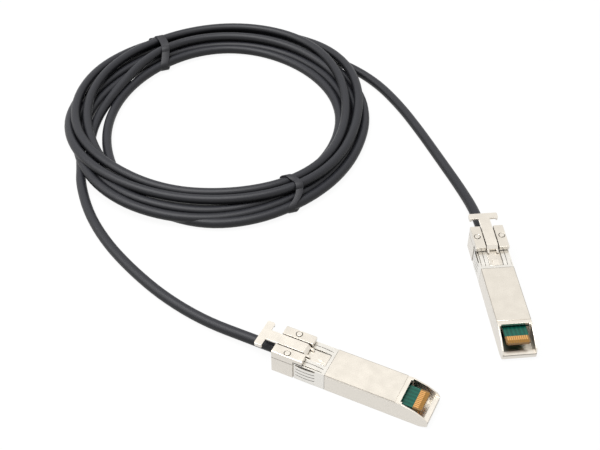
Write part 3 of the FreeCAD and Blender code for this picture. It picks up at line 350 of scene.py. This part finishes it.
def solder_mask(name, end, colour, light):
    """Green lacquer with the relief of its tracks, and the bare tan board round the contacts."""
    finish = Finish(name, end, IOR=1.5, Coat_Weight=0.08, Coat_Roughness=0.12,
                    Specular_IOR_Level=0.35)
    lanes = finish.add("ShaderNodeTexWave", {"bands_direction": "Y"}, {
        "Vector": finish.place, "Scale": 196.0, "Distortion": 0.3, "Detail": 0.0})
    track = Signal(finish, lanes.outputs["Fac"]).over(0.62)
    drift = finish.noise(500, 2.0)
    along = finish.add("ShaderNodeSeparateXYZ", values={"Vector": finish.place})
    bare = Signal(finish, along.outputs["X"]).over(BARE_BOARD_FROM)
    green = finish.between(drift * 0.5 + track * 0.5, colour, light)
    # painted shade in the nose's recesses
    shaded = (finish.crevice(2.5 * MM) * 1.6 - 0.5).clamped()
    green = finish.between(shaded, green, BOARD_SHADE)
    finish.set(Base_Color=finish.between(bare, green, BOARD_TAN),
               Roughness=0.22 + drift * 0.12)
    finish.bump(track, 0.3, 0.03 * MM)
    return finish.material


def contacts(name, end, colour, dark):
    """Gold contacts, warmer on the long rear row and darker on the short front row."""
    finish = Finish(name, end, Metallic=1.0, IOR=1.45)
    along = finish.add("ShaderNodeSeparateXYZ", values={"Vector": finish.place})
    front = Signal(finish, along.outputs["X"]).over(CONTACT_ROWS_SPLIT)
    cloud = finish.noise(900, 3.0)
    finish.set(Base_Color=finish.between(front * 0.8 + cloud * 0.2, colour, dark),
               Roughness=0.2 + cloud * 0.12)
    finish.bump(cloud, 0.1, 0.01 * MM)
    return finish.material


def braid(name, colour, shade):
    """Fine copper wires crossed over the jacket."""
    finish = Finish(name, Metallic=1.0)
    weave = finish.add("ShaderNodeTexWave", {"bands_direction": "DIAGONAL"}, {
        "Vector": finish.place, "Scale": 900.0, "Distortion": 1.0})
    strand = Signal(finish, weave.outputs["Fac"])
    finish.set(Base_Color=finish.between(strand, shade, colour), Roughness=0.3 + strand * 0.15)
    finish.bump(strand, 0.6, 0.05 * MM)
    return finish.material


def make_finishes(look):
    nickel, warm, board = tuple(look.nickel), tuple(look.nickel_shade), tuple(look.board)
    return {
        "nickel_shell_a": metal("nickel_shell_a", nickel, warm, 0.30, end="a"),
        "nickel_shell_b": metal("nickel_shell_b", nickel, warm, 0.30, end="b"),
        "nickel_cover_a": metal("nickel_cover_a", nickel, warm, 0.27, end="a"),
        "nickel_cover_b": metal("nickel_cover_b", nickel, warm, 0.27, end="b"),
        "spring_sheet": metal("spring_sheet", (0.85, 0.82, 0.76), (0.76, 0.73, 0.67),
                              0.24, 9000, 0.06),
        "lever_sheet": metal("lever_sheet", (0.83, 0.775, 0.69), (0.75, 0.70, 0.62),
                             0.28, 7000, 0.1),
        "rivet_metal": metal("rivet_metal", (0.84, 0.79, 0.71), (0.72, 0.67, 0.59),
                             0.28, 8000, 0.1),
        "contact_gold_a": contacts("contact_gold_a", "a", GOLD, GOLD_DEEP),
        "contact_gold_b": contacts("contact_gold_b", "b", GOLD, GOLD_DEEP),
        "ferrule_metal": metal("ferrule_metal", (0.70, 0.69, 0.67), (0.58, 0.57, 0.55), 0.3),
        "braid_copper": braid("braid_copper", (0.80, 0.52, 0.36), (0.42, 0.22, 0.13)),
        "board_green_a": solder_mask("board_green_a", "a", board, BOARD_LIGHT),
        "board_green_b": solder_mask("board_green_b", "b", board, BOARD_LIGHT),
        "chip_black": moulded("chip_black", (0.016, 0.016, 0.017), (0.03, 0.03, 0.032), 0.5),
        "capacitor_tan": moulded("capacitor_tan", (0.34, 0.24, 0.15), (0.45, 0.34, 0.23), 0.45),
        "pair_jacket": moulded("pair_jacket", (0.05, 0.12, 0.36), (0.08, 0.18, 0.46), 0.4),
        "cable_jacket": jacket_rubber("cable_jacket", tuple(look.jacket), look.jacket_roughness,
                                      2400, 0.12),
        "tie_black": jacket_rubber("tie_black", (0.022, 0.022, 0.026), 0.5, 1800, 0.35),
    }


# ---------------------------------------------------------------- mesh helpers

WELD = 1e-6                     # corners nearer to each other are one, in metres
FLAT_ANGLE = math.radians(1)    # faces that meet more flatly are one
SHARP_ANGLE = math.radians(50)  # edges of a node that turn by more are softened
RIM_ANGLE = math.radians(60)    # and so are edges of a tie that turn by more


def mesh_piece(name, bm, finish, body, limit=30):
    """A piece from a bmesh, dressed and riding on a body, smooth below that angle of its faces."""
    for face in bm.faces:
        face.smooth = True
    for edge in bm.edges:
        edge.smooth = len(edge.link_faces) == 2 and edge.calc_face_angle(0) < math.radians(limit)
    mesh = bpy.data.meshes.new(name)
    bm.to_mesh(mesh)
    bm.free()
    mesh.materials.append(FINISHES[finish])
    piece = bpy.data.objects.new(name, mesh)
    bpy.context.scene.collection.objects.link(piece)
    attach(piece, body)
    return piece


def dressed_copy(node, slot, body, soften=0.0, finish=None):
    """A CAD node's shape as one closed mesh, with softened edges where soften is given, in place
    of the node.
    """
    bm = bmesh.new()
    bm.from_mesh(NODES[node].data)
    bmesh.ops.remove_doubles(bm, verts=bm.verts[:], dist=WELD)
    if soften:
        bmesh.ops.dissolve_limit(bm, angle_limit=FLAT_ANGLE, verts=bm.verts[:],
                                 edges=bm.edges[:])
        sharp = [e for e in bm.edges if e.calc_face_angle(0) > SHARP_ANGLE]
        bmesh.ops.bevel(bm, geom=sharp, offset=soften, segments=2, profile=0.5,
                        affect="EDGES", material=-1)
        bmesh.ops.recalc_face_normals(bm, faces=bm.faces[:])
    piece = mesh_piece(node + "_finished", bm, finish or slot, body, 20 if soften else 30)
    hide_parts(node)


def dress_node(node, finish):
    """A CAD node that stays, with its own finish in place of the plain one."""
    materials = NODES[node].data.materials
    materials.clear()
    materials.append(FINISHES[finish])


# ---------------------------------------------------------------- sizes and colours

class CopperCableCord(bpy.types.PropertyGroup):
    diameter: FloatProperty(
        name="Cable diameter", description="Diameter of the cable's jacket",
        default=0.0044, unit="LENGTH", precision=4)
    length: FloatProperty(
        name="Cable length", description="Length of the cable from plug to plug",
        default=2.87, unit="LENGTH")
    tie_wall: FloatProperty(
        name="Tie thickness", description="Thickness of a tie",
        default=0.0008, unit="LENGTH", precision=4)
    tie_slack: FloatProperty(
        name="Tie slack", description="How far a tie sinks between the strands",
        default=0.0006, unit="LENGTH", precision=4)


class CopperCableLook(bpy.types.PropertyGroup):
    nickel: FloatVectorProperty(
        name="Nickel", description="Colour of the plated shells", subtype="COLOR",
        default=(0.82, 0.765, 0.68), min=0, max=1)
    nickel_shade: FloatVectorProperty(
        name="Nickel shade", description="Colour of the cloudy parts of the plating",
        subtype="COLOR", default=(0.72, 0.67, 0.59), min=0, max=1)
    jacket: FloatVectorProperty(
        name="Jacket", description="Colour of the cable's jacket", subtype="COLOR",
        default=(0.018, 0.0185, 0.023), min=0, max=1)
    jacket_roughness: FloatProperty(
        name="Jacket roughness", description="How matt the cable's jacket is",
        default=0.42, min=0, max=1, subtype="FACTOR")
    board: FloatVectorProperty(
        name="Board", description="Colour of the circuit board's lacquer", subtype="COLOR",
        default=(0.0, 0.05, 0.033), min=0, max=1)


class CopperCableStage(bpy.types.PropertyGroup):
    lens: FloatProperty(
        name="Lens", description="Focal length of the camera in millimetres",
        default=64.08, subtype="DISTANCE_CAMERA")
    pitch: FloatProperty(
        name="Camera pitch", description="How far the camera looks down",
        default=math.radians(44.0), subtype="ANGLE")
    light: FloatProperty(
        name="Light", description="Strength of the surrounding light", default=0.35, min=0)


# ---------------------------------------------------------------- operators

class COPPERCABLE_OT_finishes(bpy.types.Operator):
    """Make the metals, plastics and lacquers"""
    bl_idname = "copper_cable.finishes"
    bl_label = "Finishes"

    def execute(self, context):
        FINISHES.update(make_finishes(context.scene.copper_cable_look))
        return {"FINISHED"}


class COPPERCABLE_OT_cord(bpy.types.Operator):
    """Lay the cable from plug A round the coil into plug B"""
    bl_idname = "copper_cable.cord"
    bl_label = "Cable"

    def execute(self, context):
        size = context.scene.copper_cable_cord
        curve = bpy.data.curves.new("cable", "CURVE")
        curve.dimensions = "3D"
        points = route_points()
        spline = curve.splines.new("NURBS")
        spline.points.add(len(points) - 1)
        for control, place in zip(spline.points, points):
            control.co = (*place, 1)
        spline.order_u = 3
        spline.use_endpoint_u = True
        spline.resolution_u = CORD_STEPS
        curve.resolution_u = CORD_STEPS
        curve.bevel_depth = size.diameter / 2
        curve.bevel_resolution = CORD_ROUNDNESS
        curve.use_fill_caps = True
        cable = bpy.data.objects.new("cable", curve)
        context.scene.collection.objects.link(cable)
        curve.materials.append(FINISHES["cable_jacket"])
        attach(cable, "cable_assembly")
        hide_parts("cable_lead_a", "cable_lead_b", "cable_coil")
        return {"FINISHED"}


def strand_crossings(middle, across):
    """Where the cable's line crosses the upright plane there: distances along it and heights."""
    line = bpy.data.objects["cable"].copy()
    line.data = line.data.copy()
    line.data.bevel_depth = 0
    mesh = bpy.data.meshes.new_from_object(line)
    side = Vector((-across.y, across.x, 0))
    found = []
    for edge in mesh.edges:
        start, end = (mesh.vertices[v].co - middle for v in edge.vertices)
        a, b = start.dot(side), end.dot(side)
        if a * b <= 0 and a != b:
            place = start.lerp(end, a / (a - b))
            if abs(place.dot(across)) < BUNDLE_REACH:
                found.append((place.dot(across), place.z))
    curve = line.data
    bpy.data.objects.remove(line)
    bpy.data.curves.remove(curve)
    bpy.data.meshes.remove(mesh)
    return found


def strap_outline(strands, radius, slack):
    """A strap's distances from the strands' middle, step by step round it.

    It lies on the strands and spans the dips between them, all but a little slack."""
    turns = [math.tau * step / TIE_STEPS for step in range(TIE_STEPS)]
    reach = [max(x * math.cos(t) + z * math.sin(t) for x, z in strands) + radius for t in turns]
    outline = []
    for turn in turns:
        taut = min(far / math.cos(turn - t) for far, t in zip(reach, turns)
                   if math.cos(turn - t) > 0.05)
        lying = 0.0
        for x, z in strands:
            aside = x * math.sin(turn) - z * math.cos(turn)
            if abs(aside) < radius:
                ahead = x * math.cos(turn) + z * math.sin(turn)
                lying = max(lying, ahead + math.sqrt(radius ** 2 - aside ** 2))
        outline.append(max(lying, taut - slack))
    return [(outline[i - 1] + 2 * outline[i] + outline[(i + 1) % TIE_STEPS]) / 4
            for i in range(TIE_STEPS)]


class COPPERCABLE_OT_ties(bpy.types.Operator):
    """Wrap the two ties tightly round the coil's strands"""
    bl_idname = "copper_cable.ties"
    bl_label = "Ties"

    def execute(self, context):
        size = context.scene.copper_cable_cord
        for number, (turn, twist, bow, width) in enumerate(TIES, start=1):
            slant = 1 / math.cos(math.radians(twist))
            spoke = Matrix.Rotation(math.radians(turn), 3, "Z") @ Vector((1, 0, 0))
            across = Matrix.Rotation(math.radians(twist), 3, "Z") @ spoke
            side = Vector((-across.y, across.x, 0))
            strands = [(x / slant, z) for x, z in
                       strand_crossings(COIL_MIDDLE + spoke * TIE_REACH, across)]
            places = [x for x, _ in strands]
            heights = [z for _, z in strands]
            middle = Vector(((min(places) + max(places)) / 2, (min(heights) + max(heights)) / 2))
            outline = strap_outline([(x - middle.x, z - middle.y) for x, z in strands],
                                    size.diameter / 2, size.tie_slack)
            hub = COIL_MIDDLE + spoke * TIE_REACH + across * middle.x * slant
            hub.z = middle.y
            bm = bmesh.new()
            bmesh.ops.create_circle(bm, segments=TIE_STEPS, radius=1)
            for corner in bm.verts:
                angle = math.atan2(corner.co.y, corner.co.x)
                reach = outline[round(angle / math.tau * TIE_STEPS) % TIE_STEPS]
                out = reach * math.cos(angle)
                sway = bow * (1 - (out / outline[0]) ** 2) - width / 2
                corner.co = (hub + across * out * slant + side * sway * MM
                             + Vector((0, 0, 1)) * reach * math.sin(angle))
            grown = bmesh.ops.extrude_edge_only(bm, edges=bm.edges[:])["geom"]
            bmesh.ops.translate(bm, vec=side * width * MM,
                                verts=[v for v in grown if isinstance(v, bmesh.types.BMVert)])
            bmesh.ops.recalc_face_normals(bm, faces=bm.faces[:])
            bmesh.ops.solidify(bm, geom=bm.faces[:], thickness=-size.tie_wall)
            rims = [e for e in bm.edges if e.calc_face_angle(0) > RIM_ANGLE]
            bmesh.ops.bevel(bm, geom=rims, offset=TIE_ROUNDING, segments=2, profile=0.5,
                            affect="EDGES", material=-1)
            bmesh.ops.recalc_face_normals(bm, faces=bm.faces[:])
            tie = mesh_piece("coil_tie_%d_strap" % number, bm, "tie_black",
                             "cable_assembly")
            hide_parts("coil_tie_%d" % number)
        return {"FINISHED"}


class COPPERCABLE_OT_plugs(bpy.types.Operator):
    """Finish the shells, spring collars, levers and rivets of both plugs"""
    bl_idname = "copper_cable.plugs"
    bl_label = "Plugs"

    def execute(self, context):
        for end in ENDS:
            for node, finish, soften in (
                    ("base_shell", "nickel_shell", 0.08), ("cover_shell", "nickel_cover", 0.08),
                    ("spring_collar", "spring_sheet", 0), ("rivets", "rivet_metal", 0.06)):
                dressed_copy("%s_%s" % (node, end), finish, "cable_assembly", soften * MM,
                             finish + "_" + end if "nickel" in finish else None)
            dressed_copy("latch_lever_" + end, "lever_sheet", "latch_" + end, 0.06 * MM)
        return {"FINISHED"}


class COPPERCABLE_OT_boards(bpy.types.Operator):
    """Finish the circuit boards with their contacts, chips and coupling capacitors"""
    bl_idname = "copper_cable.boards"
    bl_label = "Circuit boards"

    def execute(self, context):
        for end in ENDS:
            for node, finish in (("circuit_board", "board_green_" + end),
                                 ("contact_pads", "contact_gold_" + end),
                                 ("memory_chip", "chip_black"),
                                 ("coupling_capacitors", "capacitor_tan")):
                dress_node("%s_%s" % (node, end), finish)
        return {"FINISHED"}


class COPPERCABLE_OT_cable_ends(bpy.types.Operator):
    """Finish the crimp ferrules, folded braids and twin-axial pairs inside the plugs"""
    bl_idname = "copper_cable.cable_ends"
    bl_label = "Cable ends"

    def execute(self, context):
        for end in ENDS:
            for node, finish in (("crimp_ferrule", "ferrule_metal"),
                                 ("folded_braid", "braid_copper"),
                                 ("twinax_pairs", "pair_jacket")):
                dressed_copy("%s_%s" % (node, end), finish, "cable_assembly")
        return {"FINISHED"}


CAMERA_PLACE = (0.1017, -0.2278, 0.3175)
# Each lamp's name, its place and width in metres and its power in watts.
LAMPS = (("window", (-0.25, -0.1, 1.3), 1.2, 19), ("fill", (-0.8, -0.35, 0.7), 0.9, 4))
LAMP_AIM = (-0.03, 0.08, 0)
FLOOR_HALF = 3                  # half of the floor's side, in metres
FLOOR_WHITE = (0.9, 0.9, 0.9, 1)
FLOOR_GLOW = 0.93               # share of the floor that the camera sees as pure white


class COPPERCABLE_OT_stage(bpy.types.Operator):
    """Set the white floor, the soft light and the camera"""
    bl_idname = "copper_cable.stage"
    bl_label = "Stage"

    def execute(self, context):
        scene = context.scene
        stage = scene.copper_cable_stage
        scene.view_settings.view_transform = "Standard"
        self.camera(scene, stage)
        self.floor(scene)
        self.world(scene, stage)
        for lamp in LAMPS:
            self.lamp(scene, *lamp)
        return {"FINISHED"}

    def camera(self, scene, stage):
        camera = bpy.data.objects.new("camera", bpy.data.cameras.new("camera"))
        camera.data.lens = stage.lens
        camera.data.sensor_width = 36
        camera.data.clip_start = 0.01
        camera.location = CAMERA_PLACE
        camera.rotation_euler = (math.pi / 2 - stage.pitch, 0, math.radians(CAMERA_TURN))
        scene.collection.objects.link(camera)
        scene.camera = camera

    def seen(self, tree):
        """One where the camera, or metal and glass, see the background; zero for its light."""
        path = tree.nodes.new("ShaderNodeLightPath")
        total = path.outputs["Is Camera Ray"]
        for name in ("Is Glossy Ray", "Is Transmission Ray"):
            either = tree.nodes.new("ShaderNodeMath")
            either.operation = "MAXIMUM"
            tree.links.new(total, either.inputs[0])
            tree.links.new(path.outputs[name], either.inputs[1])
            total = either.outputs[0]
        return total

    def floor(self, scene):
        bm = bmesh.new()
        bmesh.ops.create_grid(bm, x_segments=1, y_segments=1, size=FLOOR_HALF)
        mesh = bpy.data.meshes.new("floor")
        bm.to_mesh(mesh)
        bm.free()
        floor = bpy.data.objects.new("floor", mesh)
        scene.collection.objects.link(floor)
        material = bpy.data.materials.new("white_floor")
        material.use_nodes = True
        tree = material.node_tree
        tree.nodes.clear()
        matt = tree.nodes.new("ShaderNodeBsdfDiffuse")
        matt.inputs["Color"].default_value = FLOOR_WHITE
        glow = tree.nodes.new("ShaderNodeEmission")
        mixed = tree.nodes.new("ShaderNodeMixShader")
        share = tree.nodes.new("ShaderNodeMath")
        share.operation = "MULTIPLY"
        share.inputs[1].default_value = FLOOR_GLOW
        output = tree.nodes.new("ShaderNodeOutputMaterial")
        tree.links.new(self.seen(tree), share.inputs[0])
        tree.links.new(share.outputs[0], mixed.inputs[0])
        tree.links.new(matt.outputs[0], mixed.inputs[1])
        tree.links.new(glow.outputs[0], mixed.inputs[2])
        tree.links.new(mixed.outputs[0], output.inputs[0])
        mesh.materials.append(material)

    def world(self, scene, stage):
        world = bpy.data.worlds.new("studio")
        scene.world = world
        world.use_nodes = True
        tree = world.node_tree
        background = tree.nodes["Background"]
        background.inputs["Color"].default_value = (1, 1, 1, 1)
        strength = tree.nodes.new("ShaderNodeMapRange")
        strength.inputs["To Min"].default_value = stage.light
        strength.inputs["To Max"].default_value = 1
        tree.links.new(self.seen(tree), strength.inputs["Value"])
        tree.links.new(strength.outputs[0], background.inputs["Strength"])

    def lamp(self, scene, name, place, size, watts):
        """A round lamp that faces the middle of the object."""
        lamp = bpy.data.objects.new(name, bpy.data.lights.new(name, "AREA"))
        lamp.data.shape = "DISK"
        lamp.data.size = size
        lamp.data.energy = watts
        lamp.location = place
        aim = Vector(LAMP_AIM) - Vector(place)
        lamp.rotation_euler = aim.to_track_quat("-Z", "Y").to_euler()
        scene.collection.objects.link(lamp)


class COPPERCABLE_PT_panel(bpy.types.Panel):
    """Sizes, colours and steps of the copper cable"""
    bl_label = "Copper Cable"
    bl_idname = "COPPERCABLE_PT_panel"
    bl_space_type = "VIEW_3D"
    bl_region_type = "UI"
    bl_category = "Copper Cable"

    def draw(self, context):
        for owner in (context.scene.copper_cable_cord, context.scene.copper_cable_look,
                      context.scene.copper_cable_stage):
            box = self.layout.box()
            for name in owner.__annotations__:
                box.prop(owner, name)
        for operator in STEPS:
            self.layout.operator(operator.bl_idname)


STEPS = (
    COPPERCABLE_OT_finishes, COPPERCABLE_OT_cord, COPPERCABLE_OT_ties, COPPERCABLE_OT_plugs,
    COPPERCABLE_OT_boards, COPPERCABLE_OT_cable_ends, COPPERCABLE_OT_stage,
)
GROUPS = {
    "copper_cable_cord": CopperCableCord,
    "copper_cable_look": CopperCableLook,
    "copper_cable_stage": CopperCableStage,
}


def register():
    for group in GROUPS.values():
        bpy.utils.register_class(group)
    for name, group in GROUPS.items():
        setattr(bpy.types.Scene, name, PointerProperty(type=group))
    for operator in STEPS:
        bpy.utils.register_class(operator)
    bpy.utils.register_class(COPPERCABLE_PT_panel)


def unregister():
    bpy.utils.unregister_class(COPPERCABLE_PT_panel)
    for operator in reversed(STEPS):
        bpy.utils.unregister_class(operator)
    for name in GROUPS:
        delattr(bpy.types.Scene, name)
    for group in reversed(GROUPS.values()):
        bpy.utils.unregister_class(group)


def main():
    register()
    for operator in STEPS:
        group, name = operator.bl_idname.split(".")
        getattr(getattr(bpy.ops, group), name)()


if __name__ == "__main__":
    main()
